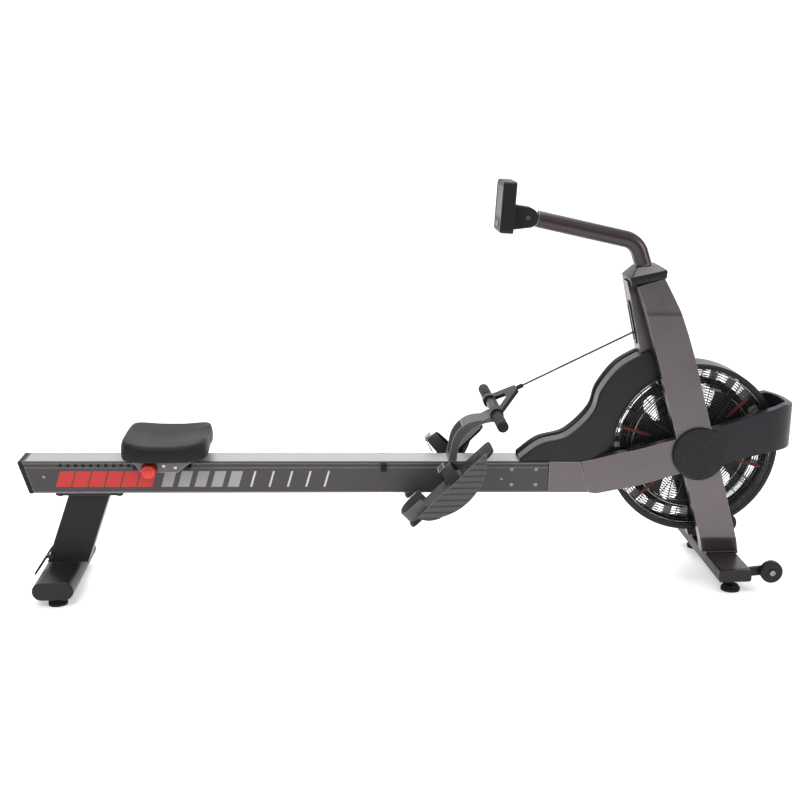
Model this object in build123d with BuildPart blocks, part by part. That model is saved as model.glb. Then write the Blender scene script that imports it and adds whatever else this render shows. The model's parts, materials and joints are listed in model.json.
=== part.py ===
"""Air rowing machine, built up from separate named pieces.  Millimetres, +Z up.

Two frames are used.  The level frame is the floor's: X forward, Y away from the near side,
Z up from the floor.  The rail frame has its X along the rail, Z square to it, its origin on
the rail's top face below the fan axle.  The rail falls gently towards the fan, so `write`
turns every piece that is drawn in the rail frame before it is written.
"""
from math import asin, atan2, cos, hypot, radians, sin
import os

from build123d import *

os.makedirs("parts", exist_ok=True)

# ---------------------------------------------------------------- driving dimensions
rail_slope = 1.4            # degrees, front end low
rail_height = 371.0         # rail top above the floor, below the fan axle
fan_x = 883.0               # the fan axle's place ahead of the middle of the machine

rail_width = 100.0
rail_depth = 100.0
rail_rear = -2062.0         # top corner of the slanted rear end
rail_front = -352.0
rail_wall = 4.0
groove_depth = 3.0
groove_height = 12.0
groove_z = -13.0
rear_cut = 0.33             # how far the rear end leans forward per mm of depth

axle_z = 44.0               # fan axle above the rail's top face
axle_radius = 10.0
bearing_radius = 23.5
bearing_width = 14.0

leg_outer = 116.0           # outer face of a tower leg from the middle plane
leg_thickness = 34.0
leg_wall = 3.0
leg_top_z = 573.0
leg_foot_z = -280.0
bend_top_z = 480.0
bend_foot_z = -232.0

arm_thickness = 30.0
arm_wall = 3.0

cage_radius = 266.0
cage_half = 48.0            # half width of the cage at its rim
cage_hub_half = 74.0        # half width of the cage beside the hub
fan_radius = 246.0

stabiliser_x = -1082.0      # level frame
stabiliser_z = 53.0
stabiliser_half = 190.0
front_base_x = 977.0        # level frame
front_base_z = 62.5
front_base_half = 240.0
wheel_x = 1091.0
wheel_z = 69.0
wheel_y = 226.0
wheel_radius = 34.0

idler_x = -158.0
idler_z = 396.0
idler_radius = 20.0
cord_radius = 3.0
handle_x = -624.0
handle_z = 162.0
handle_half = 250.0
swivel_x = -532.0
swivel_z = 232.0

spool_x = -322.0
spool_z = 66.0
spool_radius = 30.0
drive_radius = 44.0
fan_pulley_radius = 28.0
belt_low = 30.5             # belt's two edges from the middle plane
belt_high = 41.5
belt_thickness = 3.0

seat_rear = -1758.0
seat_front = -1492.0
seat_half = 150.0
seat_under = 38.0
seat_thickness = 48.0
seat_skirt = 16.0            # how far the moulded pad's sides hang below its seat plate
plate_rear = -1728.0
plate_front = -1538.0
plate_y = 80.0
plate_gauge = 4.0
roller_radius = 16.0
roller_rear_x = -1700.0
roller_front_x = -1566.0
knob_x = -1672.0

foot_tilt = 45.0
foot_x = -765.0
foot_z = -42.0
foot_y = 140.0
foot_length = 340.0
foot_width = 116.0

console_x = -606.0
console_z = 780.0
pivot_x = -540.0
pivot_z = 748.0

gap = 0.3                   # clearance between bodies that move past each other
fit = 0.05                  # radial clearance of a running fit

on_machine = Location((fan_x, 0, rail_height), (0, rail_slope, 0))


# ---------------------------------------------------------------- helpers
def write(builder, name, level=False):
    """Write one piece; pieces drawn in the rail frame are turned into the level frame."""
    piece = builder.part if level else on_machine * builder.part
    piece.label = name
    export_step(piece, f"parts/{name}.step")


def side(y):
    """Drawing plane square to Y: sketch X is X, sketch Y is Z, extrusions go towards -Y."""
    return Plane(origin=(0, y, 0), x_dir=(1, 0, 0), z_dir=(0, -1, 0))


def far_twin(builder):
    """The far-side twin of a near-side piece."""
    with BuildPart() as twin:
        add(builder.part.mirror(Plane.XZ))
    return twin


def disc(x, z, radius, y_low, y_high, bore=0.0):
    """A round piece on an axis along Y, between two distances from the middle plane."""
    with BuildPart() as piece:
        with BuildSketch(side(y_high)):
            with Locations((x, z)):
                Circle(radius)
                if bore:
                    Circle(bore, mode=Mode.SUBTRACT)
        extrude(amount=y_high - y_low)
    return piece


def level_to_rail(x, z):
    """A point of the level frame, seen in the rail frame."""
    a = radians(rail_slope)
    dx, dz = x - fan_x, z - rail_height
    return dx * cos(a) - dz * sin(a), dx * sin(a) + dz * cos(a)


# ================================================================ RAIL
rail_length = rail_front - rail_rear

with BuildPart() as rail_beam:
    with BuildSketch(Plane.YZ.offset(rail_rear)):
        with Locations((0, -rail_depth / 2)):
            RectangleRounded(rail_width, rail_depth, 3)
        with Locations((0, -rail_wall - 10), ):
            Rectangle(rail_width - 2 * (groove_depth + rail_wall), 20, mode=Mode.SUBTRACT)
        with Locations((0, (-24 - rail_depth + rail_wall) / 2)):
            Rectangle(rail_width - 2 * rail_wall, rail_depth - rail_wall - 24, mode=Mode.SUBTRACT)
        with Locations((-rail_width / 2, groove_z), (rail_width / 2, groove_z)):
            Rectangle(2 * groove_depth, groove_height, mode=Mode.SUBTRACT)
        with Locations((0, 0)):
            Rectangle(86, 3, mode=Mode.SUBTRACT)
    extrude(amount=rail_length)
    with BuildSketch(side(rail_width)):
        with BuildLine():
            Polyline((rail_rear - 5, 5), (rail_rear, 5), (rail_rear + rear_cut * 110, -105),
                     (rail_rear - 5, -105), close=True)
        make_face()
    extrude(amount=2 * rail_width, mode=Mode.SUBTRACT)
    with BuildSketch(side(-20)):
        with Locations((-1831.5, groove_z)):
            with GridLocations(22.9, 1, 11, 1):
                Circle(4.5)
    extrude(amount=40, mode=Mode.SUBTRACT)
write(rail_beam, "rail_beam")

with BuildPart() as rail_track:
    with BuildSketch(Plane.XY.offset(-1.5)):
        with Locations(((rail_rear + rail_front) / 2 + 4, 0)):
            Rectangle(rail_length - 12, 85.8)
    extrude(amount=1.5)
write(rail_track, "rail_track")

with BuildPart() as rail_end_cap:
    with BuildSketch(side(rail_width / 2 + 1)):
        with BuildLine():
            Polyline((rail_rear - 13, 1), (rail_rear - 1, 1), (rail_rear + rear_cut * 101 - 1, -101),
                     (rail_rear + rear_cut * 101 - 13, -101), close=True)
        make_face()
    extrude(amount=rail_width + 2)
    fillet(rail_end_cap.faces().sort_by(Axis.X)[0].edges(), radius=4)
write(rail_end_cap, "rail_end_cap")

# Rubber stops on both sides, which the seat's guide pads run up against.
with BuildPart() as seat_stops:
    with BuildSketch(side(-rail_width / 2)):
        with Locations((-962, groove_z - 3)):
            RectangleRounded(18, 26, 5)
    extrude(amount=12)
    mirror(about=Plane.XZ)
write(seat_stops, "seat_stops")

# Button-head bolts in the rail's sides, and hex bolts through the rear leg's flange.
with BuildPart() as frame_bolts:
    for bolt_x, bolt_z, head in ((-565, -24, 6), (-489, -24, 6), (-565, -74, 6), (-489, -74, 6),
                                 (-596, -56, 3.5), (-1996, -48, 4)):
        with BuildSketch(side(-rail_width / 2)):
            with Locations((bolt_x, bolt_z)):
                Circle(head)
        extrude(amount=0.45 * head)
    chamfer(frame_bolts.faces().filter_by(Axis.Y).group_by(Axis.Y)[0].edges(), length=0.9)
    mirror(about=Plane.XZ)
    with BuildSketch(Plane.XY.offset(-rail_depth - 8.5)):
        with Locations((-1953, -32), (-1953, 32), (-1773, -32), (-1773, 32)):
            RegularPolygon(8, 6)
    extrude(amount=-6)
write(frame_bolts, "frame_bolts")


# ================================================================ REAR FOOT
foot_top_z = stabiliser_z + 28


def level_line(z_level):
    """Where a level plane at that height crosses the rail frame, as a plane facing up."""
    x, z = level_to_rail(stabiliser_x, z_level)
    a = radians(rail_slope)
    return Plane(origin=(x, 0, z), x_dir=(cos(a), 0, sin(a)), z_dir=(-sin(a), 0, cos(a)))


def rear_leg_tube(inset):
    """The rear leg's outline; inset makes the hollow inside it."""
    with BuildPart() as tube:
        with BuildSketch(side(32 - inset)):
            with BuildLine():
                Polyline((-1927 + inset, -108), (-1802 - inset, -108),
                         (-1878 - inset, -330), (-2003 + inset, -330), close=True)
            make_face()
        extrude(amount=2 * (32 - inset))
    return tube


with BuildPart() as rear_leg:
    add(rear_leg_tube(0).part)
    add(rear_leg_tube(3).part, mode=Mode.SUBTRACT)
    with BuildSketch(Plane.XY.offset(-rail_depth - 8.5)):
        with Locations((-1863, 0)):
            RectangleRounded(204, 96, 6)
    extrude(amount=8)
    split(bisect_by=level_line(foot_top_z + 0.05), keep=Keep.TOP)
    with BuildLine() as grip_wire:
        Polyline((-2001, -44, -305), (-2042, -44, -368), (-2042, 44, -368), (-2001, 44, -305))
        fillet(grip_wire.vertices().sort_by(Axis.X)[0:2], radius=14)
    with BuildSketch(Plane(origin=grip_wire.wire() @ 0, z_dir=grip_wire.wire() % 0)):
        Circle(3.5)
    sweep()
    for grip_y in (-29, 44):
        with BuildSketch(side(grip_y)):
            with Locations((-1994, -309)):
                Rectangle(20, 9)
        extrude(amount=15)
write(rear_leg, "rear_leg")

with BuildPart() as rear_stabiliser:
    with BuildSketch(side(stabiliser_half - 8)):
        with Locations((stabiliser_x, stabiliser_z)):
            SlotOverall(124, 56)
            SlotOverall(118, 50, mode=Mode.SUBTRACT)
    extrude(amount=2 * stabiliser_half - 16)
write(rear_stabiliser, "rear_stabiliser", level=True)

# ================================================================ TOWER AND SIDE ARMS
def leg_side_outline(inset):
    """A tower leg seen from the side: straight up past the hub, then leaning to the head."""
    a = radians(16.4)
    wide = inset / cos(a)
    with BuildPart() as slab:
        with BuildSketch(side(200)):
            with BuildLine():
                foot_rear = (38 + wide, leg_foot_z)
                knee_rear = (-141 + wide, 323)
                head_rear = (-210 + wide, 549 - inset / 2)
                head_front = (-124 - wide, leg_top_z - inset / 2)
                knee_front = (-32 - wide, 340)
                foot_front = (152 - wide, leg_foot_z)
                Line(foot_rear, knee_rear)
                ThreePointArc(knee_rear, (-178 + wide, 442), head_rear)
                Line(head_rear, head_front)
                ThreePointArc(head_front, (-76 - wide, 462), knee_front)
                Line(knee_front, foot_front)
                Line(foot_front, foot_rear)
            make_face()
        extrude(amount=400)
    return slab


def leg_band(inset):
    """A near tower leg seen from behind: out from the head, down beside the fan, in at the foot."""
    outer = leg_outer - inset
    inner = leg_outer - leg_thickness + inset
    with BuildPart() as band:
        with BuildSketch(Plane.YZ.offset(-400)):
            with BuildLine() as edge:
                Polyline((-outer + 22, leg_foot_z), (-outer, bend_foot_z), (-outer, bend_top_z),
                         (-outer + 62, leg_top_z + 8), (-inner + 62, leg_top_z + 8),
                         (-inner, bend_top_z - 14), (-inner, bend_foot_z + 10),
                         (-inner + 22, leg_foot_z), close=True)
                fillet(edge.vertices().filter_by(lambda v: leg_foot_z + 5 < v.Y < leg_top_z),
                       radius=40)
            make_face()
        extrude(amount=800)
    return band


def leg_block(inset):
    with BuildPart() as block:
        add(leg_side_outline(inset).part)
        add(leg_band(inset).part, mode=Mode.INTERSECT)
    return block


leg_solid = leg_block(0)
leg_void = leg_block(leg_wall)

with BuildPart() as tower_leg_near:
    add(leg_solid.part)
    add(leg_void.part, mode=Mode.SUBTRACT)
    with BuildSketch(side(-leg_outer + leg_thickness)):
        with Locations((0, axle_z)):
            Circle(40)
    extrude(amount=leg_thickness)
    with BuildSketch(side(0)):
        with Locations((0, axle_z)):
            Circle(bearing_radius)
    extrude(amount=200, mode=Mode.SUBTRACT)
write(tower_leg_near, "tower_leg_near")
tower_leg_far = far_twin(tower_leg_near)
write(tower_leg_far, "tower_leg_far")


def arm_side_outline(inset):
    """A side arm seen from the side, rising from the rail's end to the hub."""
    with BuildPart() as slab:
        with BuildSketch(side(200)):
            with BuildLine():
                Polyline((-350, -inset), (-318, 8 - inset), (-257, 34 - inset), (-150, 68 - inset),
                         (-20, 104 - inset), (20, 2 + inset), (-129, -42 + inset),
                         (-251, -80 + inset), (-300, -99 + inset), (-322, -99 + inset),
                         close=True)
            make_face()
        extrude(amount=400)
    return slab


def arm_band(inset):
    """A near side arm seen from above: out from the rail and round beside the fan."""
    outer = leg_outer - 1.5 - inset
    inner = leg_outer - 1.5 - arm_thickness + inset
    with BuildPart() as band:
        with BuildSketch(Plane.XY.offset(-200)):
            with BuildLine():
                Spline((-352, -50 + inset), (-290, -72 + inset), (-215, -105 + inset),
                       (-120, -outer), tangents=((1, -0.05), (1, 0)))
                Line((-120, -outer), (60, -outer))
                Line((60, -outer), (60, -inner))
                Line((60, -inner), (-120, -inner))
                Spline((-120, -inner), (-205, -81 - inset), (-262, -56 - inset),
                       (-310, -42 - inset), (-352, -20 - inset), tangents=((-1, 0), (-1, 0.6)))
                Line((-352, -20 - inset), (-352, -50 + inset))
            make_face()
        extrude(amount=400)
    return band


def arm_block(inset):
    with BuildPart() as block:
        add(arm_side_outline(inset).part)
        add(arm_band(inset).part, mode=Mode.INTERSECT)
    return block


with BuildPart() as side_arm_near:
    add(arm_block(0).part)
    add(arm_block(arm_wall).part, mode=Mode.SUBTRACT)
    add(leg_solid.part, mode=Mode.SUBTRACT)
    split(bisect_by=Plane(origin=(0, 0, axle_z), x_dir=(0, 1, 0), z_dir=(-1, 0, -0.29)),
          keep=Keep.TOP)
write(side_arm_near, "side_arm_near")
side_arm_far = far_twin(side_arm_near)
write(side_arm_far, "side_arm_far")

# ---- the middle column, which carries the cord's pulley
column_half = 38.0
column_lean = 0.24


def column_face(z):
    """The rower's side of the column at a height."""
    return -229 + (545 - z) * column_lean


def column_block(inset):
    """The column's outside, or with an inset the hollow down its middle."""
    over = 10 if inset else 0
    half = column_half - inset
    with BuildPart() as block:
        with BuildSketch(side(half)):
            with BuildLine():
                Polyline((column_face(560 + over) + inset, 560 + over),
                         (column_face(300 - over) + inset, 300 - over),
                         (column_face(300 - over) + 66 - inset, 300 - over),
                         (column_face(560 + over) + 66 - inset, 560 + over), close=True)
            make_face()
        extrude(amount=2 * half)
        with BuildSketch(Plane.YZ.offset(-300)):
            with BuildLine():
                Polyline((-half, 280), (-half, 515), (-half + 11, 575), (half - 11, 575),
                         (half, 515), (half, 280), close=True)
            make_face()
        extrude(amount=300, mode=Mode.INTERSECT)
    return block


column_solid = column_block(0)

with BuildPart() as tower_column:
    add(column_solid.part)
    add(column_block(3).part, mode=Mode.SUBTRACT)
    with BuildSketch(Plane.YZ.offset(-260)):
        with Locations((0, 431)):
            SlotOverall(124, 26, rotation=90)
        with Locations((0, 320)):
            Rectangle(16, 56)
    extrude(amount=90, mode=Mode.SUBTRACT)
    with BuildSketch(side(column_half - 3)):
        with Locations((idler_x, idler_z)):
            Circle(6)
    extrude(amount=2 * column_half - 6)
write(tower_column, "tower_column")

with BuildPart() as slot_insert:
    with BuildSketch(Plane.YZ.offset(-232)):
        with Locations((0, 431)):
            SlotOverall(134, 36, rotation=90)
    extrude(amount=60)
    with BuildSketch(Plane.YZ.offset(-232)):
        with Locations((0, 431)):
            SlotOverall(112, 14, rotation=90)
    extrude(amount=60, mode=Mode.SUBTRACT)
    with BuildSketch(side(50)):
        with BuildLine():
            Polyline((column_face(520) - 4, 520), (column_face(340) - 4, 340),
                     (column_face(340) - 0.05, 340), (column_face(520) - 0.05, 520), close=True)
        make_face()
    extrude(amount=100, mode=Mode.INTERSECT)
write(slot_insert, "slot_insert")

# ---- cap on the head of the tower
with BuildPart() as tower_cap:
    with BuildSketch(side(62)):
        with BuildLine():
            Polyline((-238, 545), (-244, 572), (-222, 596), (-166, 612), (-128, 602), (-118, 575),
                     (-124, 573.4), (-210, 549.4), (-213, 545), close=True)
        make_face()
    extrude(amount=124)
    with BuildSketch(Plane.YZ.offset(-300)):
        with BuildLine():
            Polyline((-62, 500), (-62, 580), (-34, 612), (34, 612), (62, 580), (62, 500), close=True)
        make_face()
    extrude(amount=250, mode=Mode.INTERSECT)
    add(leg_solid.part, mode=Mode.SUBTRACT)
    add(leg_solid.part.mirror(Plane.XZ), mode=Mode.SUBTRACT)
    add(column_solid.part, mode=Mode.SUBTRACT)
write(tower_cap, "tower_cap")


# ================================================================ MONITOR ARM AND CONSOLE
with BuildPart() as monitor_arm:
    with BuildLine() as arm_route:
        Polyline((-172, 0, 585), (-204, 0, 678), (-510, 0, 743))
        fillet(arm_route.vertices().sort_by(Axis.X)[1], radius=64)
    with BuildSketch(Plane(origin=arm_route.wire() @ 0, x_dir=(0, 1, 0),
                           z_dir=arm_route.wire() % 0)):
        SlotOverall(62, 50)
        SlotOverall(57, 45, mode=Mode.SUBTRACT)
    sweep()
    add(tower_cap.part, mode=Mode.SUBTRACT)
    with BuildSketch(Plane(origin=arm_route.wire() @ 1, x_dir=(0, 1, 0),
                           z_dir=arm_route.wire() % 1)):
        SlotOverall(60, 48)
    extrude(amount=-6)
    with BuildSketch(side(17)):
        with Locations((pivot_x, pivot_z)):
            Circle(20)
        with BuildLine():
            Polyline((pivot_x, pivot_z + 16), (-506, 757), (-509, 730), (pivot_x, pivot_z - 16),
                     close=True)
        make_face()
    extrude(amount=34)
    with BuildSketch(side(31)):
        with Locations((pivot_x, pivot_z)):
            Circle(5)
    extrude(amount=62)
write(monitor_arm, "monitor_arm")

# The console leans back a little, its screen facing the rower.
lean = radians(3)
console_face = Plane(origin=(console_x, 0, console_z), x_dir=(0, -1, 0),
                     z_dir=(-cos(lean), 0, sin(lean)))

with BuildPart() as console_case:
    with BuildSketch(console_face.offset(-20)):
        RectangleRounded(150, 152, 12)
    extrude(amount=40)
    chamfer(console_case.faces().sort_by(Axis.X)[0].edges(), length=4)
    with BuildSketch(side(31)):
        with Locations((pivot_x, pivot_z)):
            Circle(30)
        with BuildLine():
            Polyline((-590, 786), (pivot_x, pivot_z + 30), (pivot_x, pivot_z - 30), (-590, 712),
                     close=True)
        make_face()
    extrude(amount=62)
    with BuildSketch(side(17.5)):
        with BuildLine():
            Polyline((-574, 800), (-500, 800), (-500, 700), (-574, 700), close=True)
        make_face()
    extrude(amount=35, mode=Mode.SUBTRACT)
    with BuildSketch(side(40)):
        with Locations((pivot_x, pivot_z)):
            Circle(5 + fit)
    extrude(amount=80, mode=Mode.SUBTRACT)
    with BuildSketch(console_face.offset(20)):
        with Locations((0, 14)):
            RectangleRounded(124, 92, 4)
        with Locations((0, -52)):
            RectangleRounded(60.6, 16.6, 5)
    extrude(amount=-5, mode=Mode.SUBTRACT)
write(console_case, "console_case")

with BuildPart() as console_screen:
    with BuildSketch(console_face.offset(15)):
        with Locations((0, 14)):
            RectangleRounded(124, 92, 4)
    extrude(amount=4)
write(console_screen, "console_screen")

with BuildPart() as console_key:
    with BuildSketch(console_face.offset(17)):
        with Locations((0, -52)):
            RectangleRounded(60, 16, 4.7)
    extrude(amount=4.5)
write(console_key, "console_key")


# ================================================================ FRONT BASE
base_top = front_base_z + 19

with BuildPart() as front_base:
    with BuildSketch(side(front_base_half - 8)):
        with Locations((front_base_x, front_base_z)):
            RectangleRounded(100, 38, 8)
            RectangleRounded(94, 32, 5, mode=Mode.SUBTRACT)
    extrude(amount=2 * front_base_half - 16)
    with BuildSketch(Plane.XY.offset(base_top)):
        with Locations((front_base_x, -77), (front_base_x, 77)):
            Rectangle(100, 42)
    extrude(amount=5.8)
    for bracket_y in (-wheel_y + 23, wheel_y - 13):
        with BuildSketch(side(bracket_y)):
            with BuildLine():
                Polyline((front_base_x + 49, front_base_z - 12), (wheel_x, wheel_z - 15),
                         (wheel_x, wheel_z + 15), (front_base_x + 49, front_base_z + 15),
                         close=True)
            make_face()
            with Locations((wheel_x, wheel_z)):
                Circle(15)
        extrude(amount=10)
write(front_base, "front_base", level=True)

with BuildPart() as wheel_bolts:
    with BuildSketch(side(-wheel_y + 12.5)):
        with Locations((wheel_x, wheel_z)):
            Circle(5)
    extrude(amount=26)
    with BuildSketch(side(-wheel_y - 12)):
        with Locations((wheel_x, wheel_z)):
            RegularPolygon(9, 6)
    extrude(amount=5)
    mirror(about=Plane.XZ)
write(wheel_bolts, "wheel_bolts", level=True)

for name, hand in (("transport_wheel_near", -1), ("transport_wheel_far", 1)):
    with BuildPart() as wheel:
        with BuildSketch(side(hand * wheel_y + 11)):
            with Locations((wheel_x, wheel_z)):
                Circle(wheel_radius)
                Circle(5 + fit, mode=Mode.SUBTRACT)
        extrude(amount=22)
        fillet(wheel.edges().filter_by(lambda e: e.radius > 30 if e.geom_type == GeomType.CIRCLE
                                       else False), radius=4)
    write(wheel, name, level=True)

with BuildPart() as tube_caps:
    with BuildSketch(side(-stabiliser_half + 8)):
        with Locations((stabiliser_x, stabiliser_z)):
            SlotOverall(124, 56)
    extrude(amount=8)
    fillet(tube_caps.faces().sort_by(Axis.Y)[0].edges(), radius=5)
    with BuildSketch(side(-front_base_half + 8)):
        with Locations((front_base_x, front_base_z)):
            RectangleRounded(100, 38, 8)
    extrude(amount=8)
    mirror(about=Plane.XZ)
write(tube_caps, "tube_caps", level=True)

# Rubber levelling pads on threaded stems, set once with a wrench.
with BuildPart() as levelling_feet:
    for foot_at, foot_out, underside in ((-1076, 150, stabiliser_z - 28),
                                         (979.5, 190, front_base_z - 19)):
        for hand in (-1, 1):
            with BuildSketch(Plane.XY):
                with Locations((foot_at, hand * foot_out)):
                    Circle(29)
            extrude(amount=9)
            with BuildSketch(Plane.XY.offset(9)):
                with Locations((foot_at, hand * foot_out)):
                    Circle(24)
            extrude(amount=7)
            with BuildSketch(Plane.XY.offset(16)):
                with Locations((foot_at, hand * foot_out)):
                    Circle(8)
            extrude(amount=underside - 16)
write(levelling_feet, "levelling_feet", level=True)


# ================================================================ CAGE AND FAN
fan_axis = Axis((0, 0, axle_z), (0, 1, 0))


def guard_y(radius):
    """How far a guard wire stands from the middle plane, on a shallow cone."""
    share = (cage_radius - 8 - radius) / (cage_radius - 68)
    return cage_half + (cage_hub_half - cage_half) * share


with BuildPart() as cage_rim:
    with BuildSketch(Plane.YZ):
        with Locations((0, axle_z + cage_radius - 2)):
            Rectangle(2 * cage_half, 4)
        for lip_y in (-cage_half + 1.5, cage_half - 1.5):
            with Locations((lip_y, axle_z + cage_radius - 9)):
                Rectangle(3, 14)
    revolve(axis=fan_axis)
    with BuildSketch(side(belt_high + 2)):
        with Locations((-260, 62)):
            Rectangle(40, 104)
    extrude(amount=belt_high - belt_low + 4, mode=Mode.SUBTRACT)
write(cage_rim, "cage_rim")

with BuildPart() as guard_near:
    for ring in range(12):
        radius = 74 + ring * 16.4
        with BuildSketch(side(-guard_y(radius))):
            with Locations((0, axle_z)):
                Circle(radius + 1.5)
                Circle(radius - 1.5, mode=Mode.SUBTRACT)
        extrude(amount=3)
    with BuildSketch(side(-cage_hub_half)):
        with Locations((0, axle_z)):
            Circle(62)
            Circle(28, mode=Mode.SUBTRACT)
    extrude(amount=leg_outer - leg_thickness - cage_hub_half)
    for spoke in range(8):
        turn = 22.5 + 45 * spoke
        aim = Vector(cos(radians(turn)), 0, sin(radians(turn)))
        foot = Vector(0, -guard_y(56) - 2, axle_z) + aim * 56
        tip = Vector(0, -guard_y(256) - 2, axle_z) + aim * 256
        with BuildSketch(Plane(origin=foot, z_dir=tip - foot)):
            Rectangle(4, 4)
        extrude(amount=(tip - foot).length)
write(guard_near, "guard_near")
guard_far = far_twin(guard_near)
write(guard_far, "guard_far")

with BuildPart() as axle_bearings:
    with BuildSketch(side(-leg_outer + leg_thickness + 4)):
        with Locations((0, axle_z)):
            Circle(bearing_radius)
            Circle(axle_radius + fit, mode=Mode.SUBTRACT)
    extrude(amount=bearing_width)
    mirror(about=Plane.XZ)
write(axle_bearings, "axle_bearings")

fan_axle = disc(0, axle_z, axle_radius, -leg_outer + 10, leg_outer - 10)
write(fan_axle, "fan_axle")

with BuildPart() as fan_wheel:
    with BuildSketch(side(24)):
        with Locations((0, axle_z)):
            Circle(34)
            Circle(axle_radius, mode=Mode.SUBTRACT)
    extrude(amount=68)
    with BuildSketch(side(23)):
        with Locations((0, axle_z)):
            Circle(216)
            Circle(34, mode=Mode.SUBTRACT)
            with PolarLocations(152, 6, start_angle=14):
                SlotOverall(92, 62, mode=Mode.SUBTRACT)
    extrude(amount=3)
    with BuildSketch(side(23)):
        with Locations((0, axle_z)):
            with PolarLocations(219, 24):
                Rectangle(54, 2.5)
    extrude(amount=64)
write(fan_wheel, "fan_wheel")

fan_pulley = disc(0, axle_z, fan_pulley_radius, belt_low - 1, belt_high + 1, axle_radius + fit)
write(fan_pulley, "fan_pulley")

with BuildPart() as drive_belt:
    with BuildSketch(side(belt_high)):
        with Locations((0, axle_z)):
            Circle(fan_pulley_radius + belt_thickness + 0.2)
        with Locations((spool_x, spool_z)):
            Circle(drive_radius + belt_thickness + 0.2)
        make_hull()
    extrude(amount=belt_high - belt_low)
    with BuildSketch(side(belt_high)):
        with Locations((0, axle_z)):
            Circle(fan_pulley_radius + 0.2)
        with Locations((spool_x, spool_z)):
            Circle(drive_radius + 0.2)
        make_hull()
    extrude(amount=belt_high - belt_low, mode=Mode.SUBTRACT)
write(drive_belt, "drive_belt")

with BuildPart() as hub_covers:
    with BuildSketch(side(-leg_outer - 0.2)):
        with Locations((0, axle_z)):
            Circle(82)
    extrude(amount=14)
    chamfer(hub_covers.faces().sort_by(Axis.Y)[0].edges(), length=4)
    with BuildSketch(side(-leg_outer - 0.2)):
        with Locations((0, axle_z)):
            Circle(74)
    extrude(amount=9, mode=Mode.SUBTRACT)
    mirror(about=Plane.XZ)
write(hub_covers, "hub_covers")


# ================================================================ BUMPER AND SHROUD
def bumper_block(inset):
    """The plastic loop round the fan's front, rising from the hub; inset makes its hollow."""
    with BuildPart() as block:
        with BuildSketch(side(200)):
            with BuildLine():
                Polyline((-40, 96 - inset), (40, 122 - inset), (190, 172 - inset),
                         (262, 195 - inset), (310, 188 - inset), (310, 58 + inset),
                         (225, 50 + inset), (80, 12 + inset), (-40, -20 + inset), close=True)
            make_face()
        extrude(amount=400)
        with BuildSketch(Plane.XY.offset(-100), mode=Mode.PRIVATE) as plan:
            with Locations((6, 0)):
                RectangleRounded(600 - 2 * inset, 2 * (leg_outer - 2 - inset), 90 - inset)
            with Locations((-16, 0)):
                RectangleRounded(600 + 2 * inset, 2 * (leg_outer - 34 + inset), 60 + inset,
                                 mode=Mode.SUBTRACT)
        extrude(plan.sketch, amount=400, mode=Mode.INTERSECT)
        split(bisect_by=Plane.YZ, keep=Keep.TOP)
    return block


with BuildPart() as front_bumper:
    add(bumper_block(0).part)
    add(bumper_block(4).part, mode=Mode.SUBTRACT)
    add(leg_solid.part, mode=Mode.SUBTRACT)
    add(leg_solid.part.mirror(Plane.XZ), mode=Mode.SUBTRACT)
    split(bisect_by=Plane(origin=(20, 0, axle_z), x_dir=(0, 1, 0), z_dir=(1, 0, 0.29)),
          keep=Keep.TOP)
write(front_bumper, "front_bumper")


def shroud_outline(inset):
    """The cover's outline seen from the side; inset makes the hollow inside it."""
    with BuildSketch(Plane.XY, mode=Mode.PRIVATE) as outline:
        with BuildLine():
            nose = (-541 + 2 * inset, 1.5 + inset)
            crown = (-160, 350 - inset)
            Polyline(nose, (-350, 1.5 + inset), (-318, 9.5 + inset), (-252 + inset, 37 + inset),
                     (-90 - inset, 280), (-96 - inset, 352 - inset), crown)
            Spline(crown, (-240 + 0.7 * inset, 304 - 0.7 * inset), (-298 + inset, 228),
                   (-322 + 0.8 * inset, 156 - 0.5 * inset), (-394 + 0.3 * inset, 84 - 0.9 * inset),
                   (-478 + 0.3 * inset, 58 - 0.9 * inset), nose)
        make_face()
    return outline.sketch


def shroud_half(name, hand):
    """Half of the cover over the spool and the fan's rear edge."""
    outer = 54.0
    wall = 3.0
    with BuildPart() as half:
        with BuildSketch(side(outer if hand > 0 else -0.1)):
            add(shroud_outline(0))
        extrude(amount=outer - 0.1)
        with BuildSketch(side(outer - wall if hand > 0 else -0.1)):
            add(shroud_outline(wall))
        extrude(amount=outer - wall - 0.1, mode=Mode.SUBTRACT)
        with BuildSketch(side(60)):
            with Locations((0, axle_z)):
                Circle(cage_radius + 1)
        extrude(amount=120, mode=Mode.SUBTRACT)
        with BuildSketch(side(outer - wall)):
            with Locations((-280, 64)):
                Rectangle(66, 108)
            with Locations((-332, 4)):
                Rectangle(28, 16.6)
        extrude(amount=2 * (outer - wall), mode=Mode.SUBTRACT)
        add(column_solid.part, mode=Mode.SUBTRACT)
    write(half, name)


shroud_half("shroud_near", -1)
shroud_half("shroud_far", 1)


# ================================================================ CORD DRIVE
cord_lane = idler_radius + 1.3      # radius of the cord's middle line round the idler
drum_lane = spool_radius + cord_radius + 0.3
reach = hypot(swivel_x - idler_x, swivel_z - idler_z)
rise = atan2(idler_z - swivel_z, idler_x - swivel_x) + asin(cord_lane / reach)
cord_aim = Vector(cos(rise), 0, sin(rise))
cord_end = Vector(idler_x, 0, idler_z) + Vector(-sin(rise), 0, cos(rise)) * cord_lane

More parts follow.
